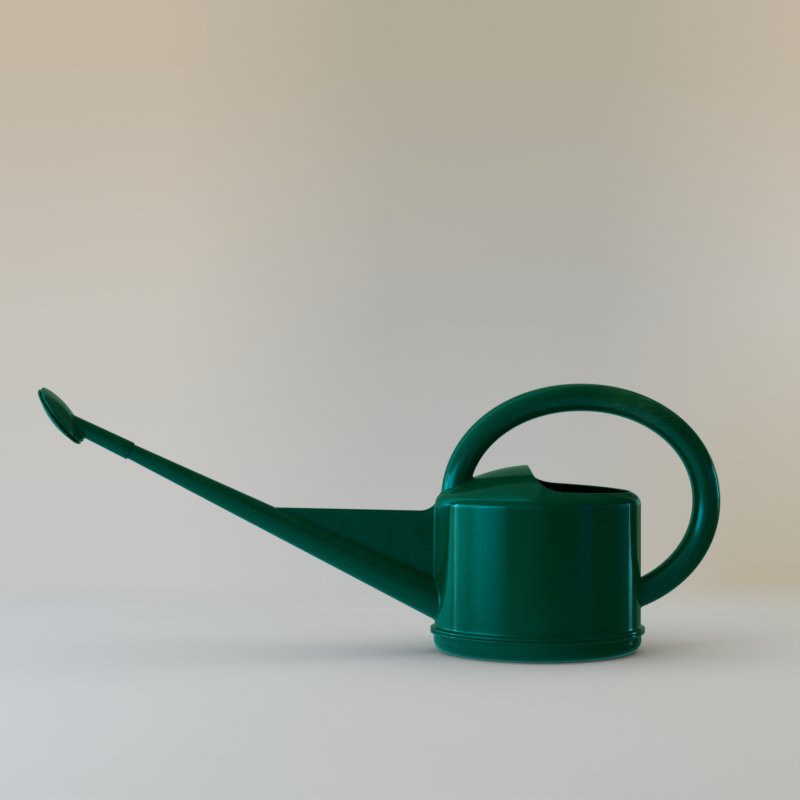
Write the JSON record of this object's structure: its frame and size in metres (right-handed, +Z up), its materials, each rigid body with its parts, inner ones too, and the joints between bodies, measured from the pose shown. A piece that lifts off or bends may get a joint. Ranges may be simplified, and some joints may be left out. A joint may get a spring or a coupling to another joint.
{
  "type": "watering can",
  "caption": "Long-reach oval watering can with a loop handle, a straight tapered spout on a web, and a push-on domed rose.",
  "frame": {"origin": "middle of the bounding box in X and Y, on the floor the can stands on", "axes": "+Z up, -X the way the spout points, +X towards the handle, +Y across"},
  "size_m": [0.7498, 0.1668, 0.2953],
  "materials": {
    "can_green": "smooth moulded, semi-gloss, lightly scuffed",
    "spout_green": "smooth moulded, semi-gloss",
    "handle_green": "smooth moulded, semi-gloss, worn by hands on top",
    "rose_green": "smooth moulded, semi-gloss"
  },
  "bodies": {
    "can": {"tank_shell": "can_green", "base_pan": "can_green", "spout": "spout_green", "spout_web": "spout_green", "handle": "handle_green"},
    "sleeve": {"rose_sleeve": "rose_green"},
    "rose": {"rose_shell": "rose_green", "rose_face": "rose_green"}
  },
  "joints": [
    {"name": "rose_pull_off", "type": "slide", "parent": "can", "child": "sleeve", "axis": [-0.8988, 0, 0.4384], "range_m": [0, 0.06]},
    {"name": "rose_turn", "type": "hinge", "parent": "sleeve", "child": "rose", "pos_m": [-0.35238, 0, 0.25905], "axis": [-0.8988, 0, 0.4384], "continuous": true}
  ]
}
